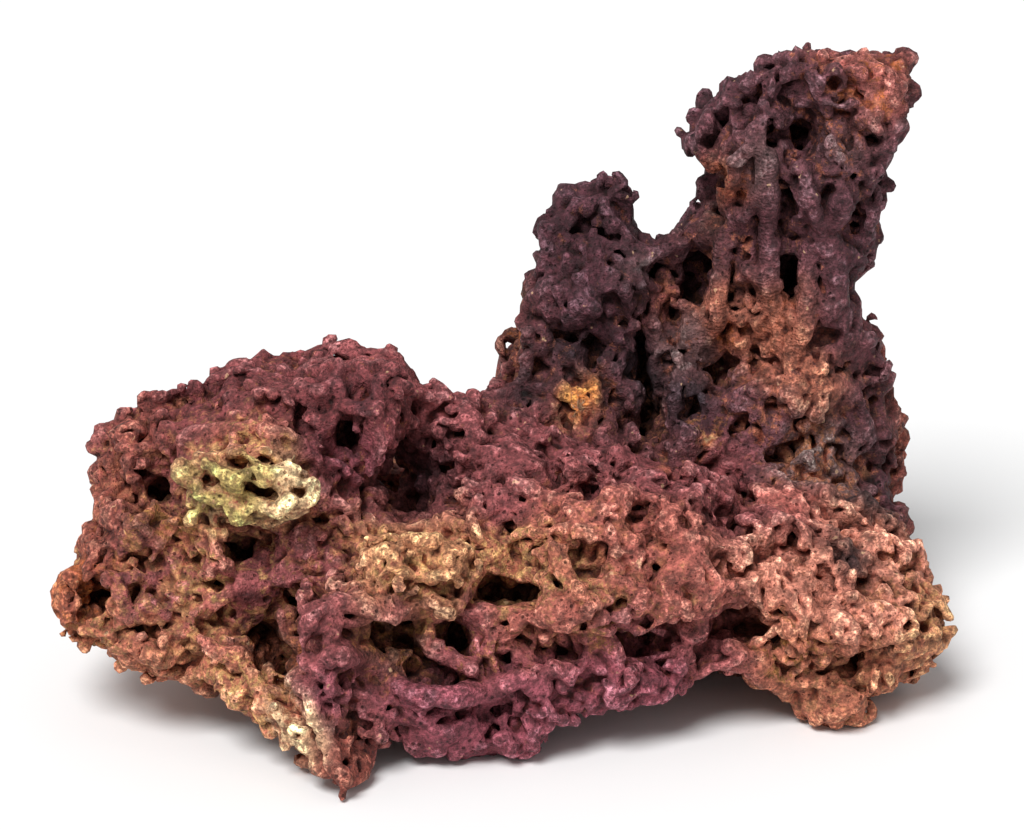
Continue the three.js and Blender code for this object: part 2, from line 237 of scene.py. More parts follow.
# Tints for painted shade that darkens pits and deep places, and for painted highlights that lighten crests,
# partly paler worn crust
PIT_SHADE_TINT = (0.26, 0.14, 0.12, 1)
DEPTH_SHADE_TINT = (0.12, 0.08, 0.06, 1)
WORN_CREST_AND_HIGHLIGHT_TINT = (1.65, 1.85, 1.8, 1)
CREST_HIGHLIGHT_TINT = (1.9, 2.7, 2.6, 1)

# The light
SUN_STRENGTH = 3.2
SUN_SPREAD = math.radians(28)
SUN_DIRECTION = Vector((0.35, 0.75, -1.15))
SKY_STRENGTH = 0.42

# Patches of colour on the side that the view shows: x, y and radius in the view's pixels, the crust's
# colour, the bare rock's colour, and how much of the rock the crust covers.
FRONT_PATCHES = [
    (300, 350, 40, "dark mauve", "salmon", 0.6), (235, 372, 34, "dark mauve", "red brown", 0.7),
    (190, 395, 34, "dark mauve", "red brown", 0.6), (330, 405, 34, "dark mauve", "red brown", 0.8),
    (357, 384, 20, "plum", "purple", 0.9), (395, 390, 30, "dark mauve", "orange", 0.7),
    (445, 410, 34, "mauve", "red brown", 0.85), (350, 470, 30, "purple", "tan", 0.7),
    (240, 440, 34, "dusty pink", "yellow tan", 0.45), (245, 480, 30, "moss", "yellow tan", 0.55),
    (290, 480, 22, "cream", "yellow tan", 0.5), (215, 500, 22, "moss", "cream", 0.45),
    (130, 430, 30, "red brown", "salmon", 0.6), (110, 480, 30, "red brown", "salmon", 0.5),
    (165, 515, 26, "brown", "ochre", 0.4), (190, 535, 26, "salmon", "ochre", 0.4),
    (80, 550, 26, "red brown", "orange", 0.7), (100, 598, 24, "orange", "rust", 0.5),
    (65, 600, 18, "red brown", "orange", 0.6), (90, 640, 24, "salmon", "yellow tan", 0.4),
    (150, 590, 34, "mauve", "tan", 0.45), (200, 600, 34, "dusty pink", "yellow tan", 0.4),
    (160, 650, 34, "salmon", "tan", 0.4), (225, 690, 30, "salmon", "yellow tan", 0.3),
    (250, 590, 26, "mauve", "yellow tan", 0.65), (280, 650, 26, "brown", "rust", 0.4),
    (240, 725, 22, "brown", "ochre", 0.5), (300, 720, 20, "cream", "tan", 0.45),
    (325, 640, 34, "mauve", "salmon", 0.8), (335, 700, 26, "purple", "red brown", 0.7),
    (355, 760, 30, "red brown", "plum", 0.6), (320, 560, 34, "mauve", "tan", 0.55),
    (370, 540, 34, "tan", "yellow tan", 0.5), (400, 580, 34, "tan", "yellow tan", 0.45),
    (450, 545, 40, "tan", "yellow tan", 0.5), (400, 610, 26, "mauve", "tan", 0.8),
    (470, 612, 24, "mauve", "yellow tan", 0.7), (400, 655, 30, "brown", "ochre", 0.45),
    (470, 660, 26, "mauve", "ochre", 0.5), (420, 700, 34, "purple", "mauve", 0.8),
    (470, 735, 34, "purple", "mauve", 0.85), (530, 720, 30, "purple", "mauve", 0.8),
    (420, 470, 34, "plum", "red brown", 0.8), (480, 440, 34, "mauve", "red brown", 0.85),
    (540, 430, 34, "mauve", "red brown", 0.85), (600, 455, 34, "mauve", "salmon", 0.85),
    (660, 470, 34, "mauve", "salmon", 0.8), (720, 470, 30, "mauve", "red brown", 0.85),
    (675, 466, 9, "orange", "orange", 0.5), (694, 446, 7, "orange", "cream", 0.4),
    (500, 500, 34, "mauve", "salmon", 0.7), (560, 510, 34, "dusty pink", "salmon", 0.6),
    (520, 560, 34, "salmon", "yellow tan", 0.35), (580, 570, 30, "salmon", "yellow tan", 0.35),
    (620, 545, 34, "dusty pink", "salmon", 0.5), (670, 530, 30, "dusty pink", "salmon", 0.6),
    (560, 630, 34, "dusty pink", "tan", 0.55), (620, 640, 34, "mauve", "ochre", 0.6),
    (600, 690, 34, "purple", "mauve", 0.75), (660, 690, 30, "purple", "red brown", 0.75),
    (700, 590, 34, "dusty pink", "tan", 0.6), (720, 640, 30, "mauve", "red brown", 0.7),
    (760, 520, 34, "mauve", "red brown", 0.8), (800, 500, 30, "pink", "salmon", 0.8),
    (860, 530, 34, "light pink", "salmon", 0.65), (910, 550, 30, "light pink", "tan", 0.5),
    (780, 570, 34, "light pink", "salmon", 0.6), (840, 590, 34, "light pink", "salmon", 0.6),
    (885, 605, 30, "light pink", "tan", 0.5), (935, 610, 26, "tan", "yellow tan", 0.5),
    (920, 650, 26, "tan", "salmon", 0.5), (850, 660, 40, "salmon", "tan", 0.5),
    (780, 650, 30, "salmon", "ochre", 0.5), (840, 705, 30, "salmon", "tan", 0.5),
    # the tower
    (555, 215, 30, "plum", "brown", 0.75), (610, 195, 24, "plum", "brown", 0.7),
    (600, 245, 30, "plum", "brown", 0.8), (590, 300, 44, "plum", "ink", 0.75),
    (525, 290, 20, "brown", "ochre", 0.5), (510, 340, 22, "brown", "orange", 0.5),
    (520, 390, 30, "ink", "plum", 0.8), (570, 360, 30, "ink", "plum", 0.7),
    # The pale of the bright orange spots at 577, 402 and 590, 384 is partly painted light shining through a
    # hole, on orange crust
    (577, 402, 15, "bright orange", "pale", 0.45), (590, 384, 8, "bright orange", "pale", 0.5),
    # The ink patch over the cleft at 645, 370 is painted shade
    (600, 390, 20, "plum", "rust", 0.5), (645, 370, 26, "ink", "ink", 0.8),
    (635, 280, 24, "grey", "plum", 0.7), (690, 250, 24, "dark purple", "salmon", 0.5),
    (670, 300, 24, "red brown", "salmon", 0.5), (700, 120, 34, "dark purple", "brown", 0.8),
    (755, 90, 34, "dark purple", "salmon", 0.7), (800, 70, 26, "dark purple", "salmon", 0.5),
    (835, 60, 26, "pink", "orange", 0.5), (885, 65, 26, "dusty pink", "orange", 0.5),
    (875, 105, 26, "dusty pink", "orange", 0.5), (840, 110, 26, "dark purple", "orange", 0.55),
    (840, 145, 26, "grey", "orange", 0.5), (720, 180, 24, "rust", "orange", 0.4),
    (710, 225, 26, "brown", "red brown", 0.6), (760, 170, 24, "grey", "dark purple", 0.7),
    (775, 240, 24, "dark purple", "grey", 0.7), (840, 200, 34, "plum", "dark purple", 0.8),
    (860, 260, 34, "plum", "red brown", 0.7), (740, 250, 24, "dark purple", "salmon", 0.5),
    (715, 300, 24, "salmon", "red brown", 0.5), (770, 330, 34, "salmon", "rust", 0.5),
    (725, 335, 22, "rust", "orange", 0.5), (690, 345, 24, "grey", "plum", 0.6),
    (840, 320, 34, "dark purple", "red brown", 0.7), (870, 350, 30, "dark purple", "grey", 0.7),
    (810, 380, 34, "salmon", "dark purple", 0.5), (740, 390, 34, "dark purple", "brown", 0.6),
    (690, 400, 26, "ink", "plum", 0.7), (700, 430, 24, "plum", "ochre", 0.5),
    (760, 440, 34, "dark purple", "salmon", 0.5), (820, 450, 34, "grey", "tan", 0.5),
    (880, 420, 34, "plum", "brown", 0.7), (860, 500, 30, "ink", "plum", 0.7),
    (895, 490, 26, "ink", "plum", 0.8), (800, 480, 24, "grey", "tan", 0.5),
    (880, 480, 24, "plum", "brown", 0.7),
]

# The same for the back, in the pixels of a view from straight behind at the same tilt.
BACK_PATCHES = [
    (180, 120, 90, "dark purple", "salmon", 0.7), (200, 260, 90, "plum", "red brown", 0.7),
    (400, 260, 90, "plum", "brown", 0.7), (200, 420, 90, "dark purple", "brown", 0.7),
    (380, 420, 90, "plum", "brown", 0.7), (180, 600, 100, "red brown", "tan", 0.6),
    (330, 600, 80, "brown", "tan", 0.6), (540, 560, 90, "mauve", "tan", 0.6),
    (700, 430, 100, "mauve", "salmon", 0.75), (850, 450, 90, "mauve", "tan", 0.6),
    (700, 600, 100, "salmon", "tan", 0.5), (880, 600, 90, "salmon", "yellow tan", 0.5),
    (760, 690, 90, "mauve", "tan", 0.5), (560, 690, 80, "brown", "tan", 0.5),
]


def linear(hex_colour):
    """The linear light values of a colour given as six hexadecimal digits."""
    values = [int(hex_colour[i : i + 2], 16) / 255 for i in (0, 2, 4)]
    return [v / 12.92 if v <= 0.04045 else ((v + 0.055) / 1.055) ** 2.4 for v in values]


# The rock's model and the view onto it


def merged_copy(node):
    """The node's mesh with its loose triangles joined: its corners and its triangles as arrays."""
    bm = bmesh.new()
    bm.from_mesh(node.data)
    bmesh.ops.remove_doubles(bm, verts=bm.verts, dist=0.01 * MM)
    bmesh.ops.triangulate(bm, faces=bm.faces)
    corners = np.array([v.co for v in bm.verts], np.float32)
    triangles = np.array([[v.index for v in f.verts] for f in bm.faces], np.uint32)
    bm.free()
    return corners, triangles


def line_of_sight(x, y, from_behind=False):
    """Where the view's line through a pixel starts, and its direction."""
    turn = Matrix.Rotation(math.pi if from_behind else 0, 3, "Z")
    up = Vector((0, math.sin(VIEW_TILT), math.cos(VIEW_TILT)))
    eye = Vector((0, -math.cos(VIEW_TILT), math.sin(VIEW_TILT))) * VIEW_DISTANCE
    on_plane = Vector(((x - PICTURE_MIDDLE[0]) * PIXEL, 0, 0)) + up * (PICTURE_MIDDLE[1] - y) * PIXEL
    return turn @ eye + VIEW_MIDDLE, (turn @ (on_plane - eye)).normalized()


def seen_on_rock(tree, x, y, from_behind=False):
    """The point of the rock's form that the view shows at a pixel, and the direction of sight there."""
    start, direction = line_of_sight(x, y, from_behind)
    place, _, _, _ = tree.ray_cast(start, direction)
    if place is None:
        middle = start + direction * VIEW_DISTANCE
        place, _, _, _ = tree.find_nearest(middle)
    return place, direction


# The field of distances


class Grid:
    """A block of space around the rock, cut into small cubes."""

    def __init__(self, low, high):
        self.low = np.array(low) - MARGIN
        self.counts = np.ceil((np.array(high) + MARGIN - self.low) / GRAIN).astype(int) + 1
        self.axes = [self.low[i] + GRAIN * np.arange(self.counts[i], dtype=np.float32) for i in range(3)]

    def distances(self, corners, triangles):
        """How far each point of the grid is outside a closed mesh: negative inside."""
        steps = ((corners - self.low) / GRAIN).astype(np.float32)
        unit_steps = openvdb.createLinearTransform(voxelSize=1.0)
        volume = openvdb.FloatGrid.createLevelSetFromPolygons(
            steps, triangles=triangles, transform=unit_steps, halfWidth=BAND / GRAIN
        )
        field = np.zeros(self.counts, np.float32)
        volume.copyToArray(field)
        return field * np.float32(GRAIN)

    def at(self, field, places):
        """The field's values at some places, mixed from the eight points around each."""
        steps = (np.asarray(places) - self.low) / GRAIN
        first = np.clip(np.floor(steps).astype(int), 0, self.counts - 2)
        share = (steps - first).astype(np.float32)
        total = np.zeros(len(steps), np.float32)
        for corner in np.ndindex(2, 2, 2):
            weight = np.prod(np.where(corner, share, 1 - share), axis=1)
            total += weight * field[tuple((first + corner).T)]
        return total

    def window(self, middle, reach):
        """The slices of the grid within reach of a place, and the offsets of their points from it."""
        first = np.maximum(np.floor((middle - reach - self.low) / GRAIN).astype(int), 0)
        last = np.minimum(np.ceil((middle + reach - self.low) / GRAIN).astype(int) + 1, self.counts)
        slices = tuple(slice(a, max(b, a)) for a, b in zip(first, last))
        offsets = [self.axes[i][slices[i]] - np.float32(middle[i]) for i in range(3)]
        return slices, offsets

    def to_mesh(self, field, name):
        """The surface where the field is zero, as one mesh, without crumbs and sealed bubbles."""
        volume = openvdb.FloatGrid(float(field.max()))
        volume.copyFromArray(field)
        points, _, quads = volume.convertToPolygons(isovalue=0.0)
        quads = quads[largest_piece(len(points), quads)]
        mesh = bpy.data.meshes.new(name)
        mesh.from_pydata((points * GRAIN + self.low).tolist(), [], quads.tolist())
        drop_loose_points(mesh)
        return mesh


def largest_piece(count, faces):
    """Which faces belong to the connected piece with the most faces."""
    label = np.arange(count)
    while True:
        least = label[faces].min(axis=1)
        before = label.copy()
        np.minimum.at(label, faces.ravel(), np.repeat(least, faces.shape[1]))
        label = label[label]
        if np.array_equal(label, before):
            break
    owner = label[faces[:, 0]]
    names, sizes = np.unique(owner, return_counts=True)
    return owner == names[sizes.argmax()]


def drop_loose_points(mesh):
    """Deletes the points that no face uses."""
    bm = bmesh.new()
    bm.from_mesh(mesh)
    bmesh.ops.delete(bm, geom=[v for v in bm.verts if not v.link_faces], context="VERTS")
    bm.to_mesh(mesh)
    bm.free()


def blurred(field, spread):
    """The field evened out over a spread in grid steps."""
    reach = int(math.ceil(2.5 * spread))
    weights = np.exp(-0.5 * (np.arange(-reach, reach + 1) / spread) ** 2)
    weights = (weights / weights.sum()).astype(np.float32)
    for axis in range(3):
        sides = [(reach, reach) if i == axis else (0, 0) for i in range(3)]
        padded = np.pad(field, sides, mode="edge")
        total = np.zeros_like(field)
        for step, weight in enumerate(weights):
            part = [slice(None)] * 3
            part[axis] = slice(step, step + field.shape[axis])
            total += weight * padded[tuple(part)]
        field = total
    return field


def waves(grid, pitch, random, stretch=(1, 1, 1)):
    """Smooth noise between about -1 and 1 all over the grid, with waves of a pitch in metres."""
    weights = []
    for count, scale in zip(grid.counts, stretch):
        place = np.arange(count) * GRAIN / (pitch * scale)
        first = np.floor(place).astype(int)
        t = place - first
        table = np.zeros((count, first[-1] + 4), np.float32)
        rows = np.arange(count)
        table[rows, first] = (1 - t) ** 3 / 6
        table[rows, first + 1] = (3 * t**3 - 6 * t**2 + 4) / 6
        table[rows, first + 2] = (-3 * t**3 + 3 * t**2 + 3 * t + 1) / 6
        table[rows, first + 3] = t**3 / 6
        weights.append(table)
    lattice = random.uniform(-2, 2, [w.shape[1] for w in weights]).astype(np.float32)
    lattice = np.tensordot(weights[0], lattice, (1, 0))
    lattice = np.tensordot(weights[1], lattice, (1, 1)).transpose(1, 0, 2)
    return np.tensordot(lattice, weights[2], (2, 1))


def wander_of(places, pitch, reach, random):
    """Smooth pushes in three directions at some places, up to about reach, with waves of a pitch."""
    steps = (places - places.min(axis=0)) / pitch
    first = np.floor(steps).astype(int)
    lattice = random.uniform(-1, 1, (*(first.max(axis=0) + 2), 3))
    share = steps - first
    share = share * share * (3 - 2 * share)
    total = np.zeros(places.shape)
    for corner in np.ndindex(2, 2, 2):
        weight = np.prod(np.where(corner, share, 1 - share), axis=1)
        total += weight[:, None] * lattice[tuple((first + corner).T)]
    return total * reach


def shape_ball(grid, field, middle, axes, radii, blend, carve, fullness=2):
    """Adds a stretched ball to the rock, or carves one out of it, with a soft rim.

    More fullness makes it boxier.
    """
    slices, offsets = grid.window(middle, max(radii) * (1.25 if fullness > 2 else 1) + blend)
    dx, dy, dz = np.meshgrid(*offsets, indexing="ij", sparse=True)
    share = 0
    for axis, radius in zip(axes, radii):
        part = (dx * axis[0] + dy * axis[1] + dz * axis[2]) / radius
        share = share + (part * part if fullness == 2 else np.abs(part) ** fullness)
    distance = (share ** (1 / fullness) - 1) * min(radii)
    window = field[slices]
    if carve:
        distance = -distance
    gap = np.maximum(blend - np.abs(window - distance), 0) / blend
    soft = gap * gap * blend / 4
    window[...] = np.maximum(window, distance) + soft if carve else np.minimum(window, distance) - soft


def random_axes(random):
    """Three directions at right angles, turned any way."""
    axes, _ = np.linalg.qr(random.normal(size=(3, 3)))
    return axes


def axes_along(direction, lean=0.0):
    """Three directions at right angles: the last as given, the second turned clockwise from upright."""
    along = Vector(direction).normalized()
    side = along.cross(Vector((0, 0, 1)))
    side = side.normalized() if side.length > 0.01 else Vector((1, 0, 0))
    up = side.cross(along)
    turn = Matrix.Rotation(lean, 3, along)
    return [turn @ side, turn @ up, along]


def surface_points(grid, field, count, random, allowed):
    """Some points spread over the field's surface where it is allowed, and the directions out of it."""
    near = np.argwhere(np.abs(field[1:-1, 1:-1, 1:-1]) < GRAIN / 2) + 1
    near = near[allowed(tuple(near.T))]
    picked = near[random.integers(0, len(near), count)]
    i, j, k = picked.T
    slopes = [
        field[i + 1, j, k] - field[i - 1, j, k],
        field[i, j + 1, k] - field[i, j - 1, k],
        field[i, j, k + 1] - field[i, j, k - 1],
    ]
    outward = np.stack(slopes, axis=1)
    outward /= np.maximum(np.linalg.norm(outward, axis=1, keepdims=True), 1e-9)
    places = picked * GRAIN + grid.low + random.uniform(-0.5, 0.5, picked.shape) * GRAIN
    return places, outward


def scatter(grid, field, balls, carve, allowed, random):
    """Balls of many sizes over the whole surface: bubbles carved into it, or knobs on it."""
    count, sizes, stretch, sink, blend = balls
    small, large = (size * MM for size in sizes)
    places, outward = surface_points(grid, field, count, random, allowed)
    for place, out in zip(places, outward):
        radius = small + (large - small) * random.random() ** 2
        radii = radius * np.array([1, random.uniform(0.65, 1), random.uniform(*stretch)])
        if random.random() < 0.5:
            axes = random_axes(random)
        else:
            axes = axes_along(out, random.uniform(0, math.pi))
        middle = place - out * radius * random.uniform(*sink)
        shape_ball(grid, field, middle, axes, radii, blend * MM, carve)


def along(tree, pixels, step, hugging):
    """Places in a row through some of the view's pixels, hugging the rock's form between them or not."""
    corners = [seen_on_rock(tree, x, y)[0] for x, y in pixels]
    for a, b in zip(corners, corners[1:]):
        count = max(int((b - a).length / step), 1)
        for i in range(count + 1):
            place = a.lerp(b, i / count)
            yield tree.find_nearest(place)[0] if hugging else place


def add_ribs(grid, field, tree, random):
    """Ribs and drapes that hug the form, and struts that run straight between their pixels."""
    for rows, hugging, uneven in ((RIBS, True, 1), (DRAPES, True, 0.3), (STRUTS, False, 1)):
        for radius, pixels in rows:
            radius *= MM
            for place in along(tree, pixels, radius * 0.45, hugging):
                size = radius * (1 + uneven * random.uniform(-0.25, 0.15))
                middle = np.array(place) + random.normal(size=3) * radius * 0.12 * uneven
                radii = (size, size, size * 0.85)
                shape_ball(grid, field, middle, random_axes(random), radii, 1.5 * MM, False)


def carve_channels(grid, field, tree):
    """A channel along each ringed column, wider than the column that then stands in it."""
    upright = axes_along((0, 0, 1))
    for radius, pixels in RINGED:
        for place in list(along(tree, pixels, radius * MM, False))[:-3]:
            radii = [CHANNEL * radius * MM] * 3
            shape_ball(grid, field, np.array(place), upright, radii, 0.8 * MM, True)


def add_ringed_columns(grid, field, tree, random):
    """The columns that stand in the channels, narrower towards their lower ends."""
    upright = axes_along((0, 0, 1))
    for radius, pixels in RINGED:
        places = list(along(tree, pixels, radius * 0.4 * MM, False))
        for i, place in enumerate(places):
            narrow = 1 - 0.5 * rise(i / len(places), 0.75, 1.0)
            size = radius * narrow * random.uniform(0.85, 1.1) * MM
            middle = np.array(place) + random.normal(size=3) * 0.3 * MM
            shape_ball(grid, field, middle, upright, [size] * 3, 1.6 * MM, False)


def carve_hollows(grid, field, tree, rows, random):
    """Each hollow is one main bowl with two smaller ones beside it, so that none is a plain oval."""
    for x, y, half_width, half_height, depth, lean in rows:
        for share in (0.95, 0.65, 0.5):
            slip = (1 - share) * random.uniform(-1, 1, 2)
            place, sight = seen_on_rock(tree, x + slip[0] * half_width, y + slip[1] * half_height)
            radii = (half_width * PIXEL * share, half_height * PIXEL * share, depth * MM * share)
            axes = axes_along(sight, math.radians(lean + random.uniform(-20, 20)))
            middle = np.array(place + sight * depth * MM * 0.25)
            shape_ball(grid, field, middle, axes, radii, 1.2 * MM, True, 3)


def rise(values, low, high):
    """From 0 to 1 while the values go from low to high."""
    t = np.clip((values - low) / (high - low), 0, 1)
    return t * t * (3 - 2 * t)


def tower_share(grid):
    """1 where a point belongs to the tower and 0 where it belongs to the ridge."""
    x, y, z = (axis.reshape([-1 if i == k else 1 for i in range(3)]) for k, axis in enumerate(grid.axes))
    return rise(x, -0.012, -0.004) * rise(y, -0.002, 0.010) * rise(z, 0.078, 0.094)


def warped(grid, field, pitch, reach, random, broken):
    """The field with every place near the surface shifted a little, so that round shapes become uneven."""
    near = np.argwhere(np.abs(field) < reach + 3 * MM).astype(np.int32)
    shift = np.stack([waves(grid, pitch, random)[tuple(near.T)] for _ in range(3)], axis=1)
    shift *= broken[tuple(near.T)][:, None] * np.float32(reach)
    result = field.copy()
    for some, moved in zip(np.array_split(near, 12), np.array_split(shift, 12)):
        result[tuple(some.T)] = grid.at(field, some * GRAIN + grid.low + moved)
    return result


def without_spikes(field):
    """The field without the parts that are too thin to be of rock."""
    filled = blurred(np.clip(0.5 - field / MM, 0, 1), THIN_SPREAD / GRAIN)
    return np.maximum(field, (THIN_SHARE - filled) * 4 * MM)


def calm_share(grid, tree):
    """How smooth the crust stays, from 0 to 1: most on columns, drapes, ribs, pits and smooth spots."""
    rows = [(radius, pixels, True, 0.6) for radius, pixels in RIBS]
    rows += [(radius, pixels, False, 0.7) for radius, pixels in STRUTS]
    rows += [(radius, pixels, True, 0.8) for radius, pixels in DRAPES]
    rows += [(radius * 1.3, pixels, False, 0.9) for radius, pixels in RINGED]
    spots = []
    for radius, pixels, hugging, share in rows:
        spots += [(place, radius * MM, share) for place in along(tree, pixels, 3 * MM, hugging)]
    spots += [(seen_on_rock(tree, x, y)[0], radius * PIXEL, 0.8) for x, y, radius in SMOOTH]
    for x, y, half_width, half_height, _, _ in PITS:
        for step in (-0.6, 0, 0.6):
            place, _ = seen_on_rock(tree, x, y + step * half_height)
            spots.append((place, 0.8 * half_width * PIXEL, 0.65))
    calm = np.zeros(grid.counts, np.float32)
    for middle, radius, share in spots:
        slices, offsets = grid.window(np.array(middle), 2 * radius)
        dx, dy, dz = np.meshgrid(*offsets, indexing="ij", sparse=True)
        near = 1 - rise(np.sqrt(dx * dx + dy * dy + dz * dz), radius, 2 * radius)
        window = calm[slices]
        window[...] = np.maximum(window, share * near)
    return calm


def billows(grid, noise, random, stretch=(1, 1, 1)):
    """How far rounded heaps with sharp clefts between them push the surface out."""
    length, height, set_back = noise
    return height * np.abs(waves(grid, length, random, stretch)) - set_back


def crusted_field(grid, form, tree, random):
    """The rock's form with its crust: hollows, bubbles, ribs, nodules and pinholes."""
    field = form + SWELL_HEIGHT * waves(grid, SWELL_LENGTH, random)
    flutes = billows(grid, FLUTES, random, FLUTE_STRETCH)
    field -= tower_share(grid) * flutes
    calm = calm_share(grid, tree)
    broken = 1 - 0.8 * calm
    field -= broken * billows(grid, HEAPS, random)

    def near_top(near):
        return (form[near] > -PORE_DEPTH) & (calm[near] < 0.5)

    def on_top(near):
        return (form[near] > -KNOB_DEPTH) & (calm[near] < 0.5)

    def in_view(near):
        i, j, k = near
        behind = form[i, np.minimum(j + 4, form.shape[1] - 1), k] - form[i, np.maximum(j - 4, 0), k]
        return (form[near] > -PORE_DEPTH) & (calm[near] < 0.7) & (behind < 3 * MM)

    scatter(grid, field, CAVITIES, True, near_top, random)
    scatter(grid, field, NODULES, False, on_top, random)
    scatter(grid, field, BUBBLES, True, near_top, random)
    carve_channels(grid, field, tree)
    carve_hollows(grid, field, tree, HOLLOWS, random)
    add_ribs(grid, field, tree, random)
    add_ringed_columns(grid, field, tree, random)
    carve_hollows(grid, field, tree, PITS, random)
    scatter(grid, field, KNOBS, False, on_top, random)
    field = warped(grid, field, 6 * MM, 2.6 * MM, random, broken)
    scatter(grid, field, PORES, True, near_top, random)
    scatter(grid, field, PINHOLES, True, in_view, random)
    field = warped(grid, field, 2.8 * MM, 1.3 * MM, random, broken)
    field -= broken * billows(grid, CRUMBS, random)
    field = without_spikes(field)
    floor = -grid.axes[2].reshape(1, 1, -1)
    return np.maximum(field, floor)


# Colours


def patch_places(tree):
    """Every patch of colour as a place, a reach, its two colours and its cover."""
    patches = []
    for rows, from_behind in ((FRONT_PATCHES, False), (BACK_PATCHES, True)):
        for x, y, radius, crust, bare, cover in rows:
            place, _ = seen_on_rock(tree, x, y, from_behind)
            colours = (linear(COLOURS[crust]), linear(COLOURS[bare]))
            patches.append((place, radius * PIXEL, *colours, cover))
    return patches


def paint(grid, mesh, form, field, tree, random):
    """Stores on each point its colours and cover, and how buried, proud, sheltered and ringed it is."""
    count = len(mesh.vertices)
    places = np.empty(count * 3, np.float32)
    mesh.vertices.foreach_get("co", places)
    places = places.reshape(-1, 3)
    wander = wander_of(places, 20 * MM, 6 * MM, random) + wander_of(places, 7 * MM, 4 * MM, random)
    nearness = np.zeros(count)
    mixed = np.zeros((count, 7))
    for middle, reach, crust, bare, cover in patch_places(tree):
        away = np.linalg.norm(places + wander - np.array(middle), axis=1) / reach
        weight = np.exp(-2.5 * away) + 1e-9 / (1 + away**2)
        nearness += weight
        mixed += weight[:, None] * np.array([*crust, *bare, cover])
    mixed /= nearness[:, None]
    store(mesh, "crust", mixed[:, :3])
    store(mesh, "bare", mixed[:, 3:6])
    store(mesh, "cover", mixed[:, 6])
    store(mesh, "buried", -grid.at(form, places) / (10 * MM))
    store(mesh, "proud", grid.at(blurred(field, 1.6 * MM / GRAIN) - field, places) / MM)
    store(mesh, "sheltered", grid.at(blurred(field, 4.5 * MM / GRAIN) - field, places) / (-3 * MM))
    store(mesh, "ringed", ring_share(places, tree))


def ring_share(places, tree):
    """1 on the ringed columns, falling to 0 beside them."""
    ringed = np.zeros(len(places))
    for radius, pixels in RINGED:
        middles = np.array(list(along(tree, pixels, 1 * MM, False)))
        columns = KDTree(len(middles))
        for i, place in enumerate(middles):
            columns.insert(place, i)
        columns.balance()
        reach = (radius + 3) * MM
        inside = (places > middles.min(0) - reach) & (places < middles.max(0) + reach)
        near = np.flatnonzero(inside.all(axis=1))
        away = np.array([columns.find(place)[2] for place in places[near].tolist()])
        ringed[near] = np.maximum(ringed[near], 1 - rise(away, radius * MM, (radius + 2) * MM))
    return ringed


def store(mesh, name, values):
    """Keeps numbers or colours on the mesh's points under a name."""
    if values.ndim == 1:
        layer = mesh.attributes.new(name, "FLOAT", "POINT")
        layer.data.foreach_set("value", values.astype(np.float32))
        return
    layer = mesh.attributes.new(name, "FLOAT_COLOR", "POINT")
    with_alpha = np.concatenate([values, np.ones((len(values), 1))], axis=1)
    layer.data.foreach_set("color", with_alpha.astype(np.float32).ravel())


class NodeDesk:
    """Short ways to add nodes to a material and join them."""

    def __init__(self, material):
        self.tree = material.node_tree
        self.shader = self.tree.nodes["Principled BSDF"]

    def put(self, value, socket):
        if isinstance(value, bpy.types.NodeSocket):
            self.tree.links.new(value, socket)
        else:
            socket.default_value = value

    def attribute(self, name, output):
        node = self.tree.nodes.new("ShaderNodeAttribute")
        node.attribute_name = name
        return node.outputs[output]

    def math(self, operation, *values):
        node = self.tree.nodes.new("ShaderNodeMath")
        node.operation = operation
        for value, socket in zip(values, node.inputs):
            self.put(value, socket)
        return node.outputs[0]

    def noise(self, place, scale, detail=3.0, roughness=0.55):
        node = self.tree.nodes.new("ShaderNodeTexNoise")
        self.put(place, node.inputs["Vector"])
        node.inputs["Scale"].default_value = scale
        node.inputs["Detail"].default_value = detail
        node.inputs["Roughness"].default_value = roughness
        return node.outputs["Fac"]

    def cells(self, place, scale):
        node = self.tree.nodes.new("ShaderNodeTexVoronoi")
        self.put(place, node.inputs["Vector"])
        node.inputs["Scale"].default_value = scale
        return node.outputs["Distance"]

    def range(self, value, low, high, to_low=0.0, to_high=1.0):
        node = self.tree.nodes.new("ShaderNodeMapRange")
        node.interpolation_type = "SMOOTHSTEP"
        for item, socket in zip((value, low, high, to_low, to_high), node.inputs):
            self.put(item, socket)
        return node.outputs[0]

    def mix(self, share, a, b, blend="MIX"):
        node = self.tree.nodes.new("ShaderNodeMix")
        node.data_type = "RGBA"
        node.blend_type = blend
        self.put(share, node.inputs[0])
        self.put(a, node.inputs[6])
        self.put(b, node.inputs[7])
        return node.outputs[2]


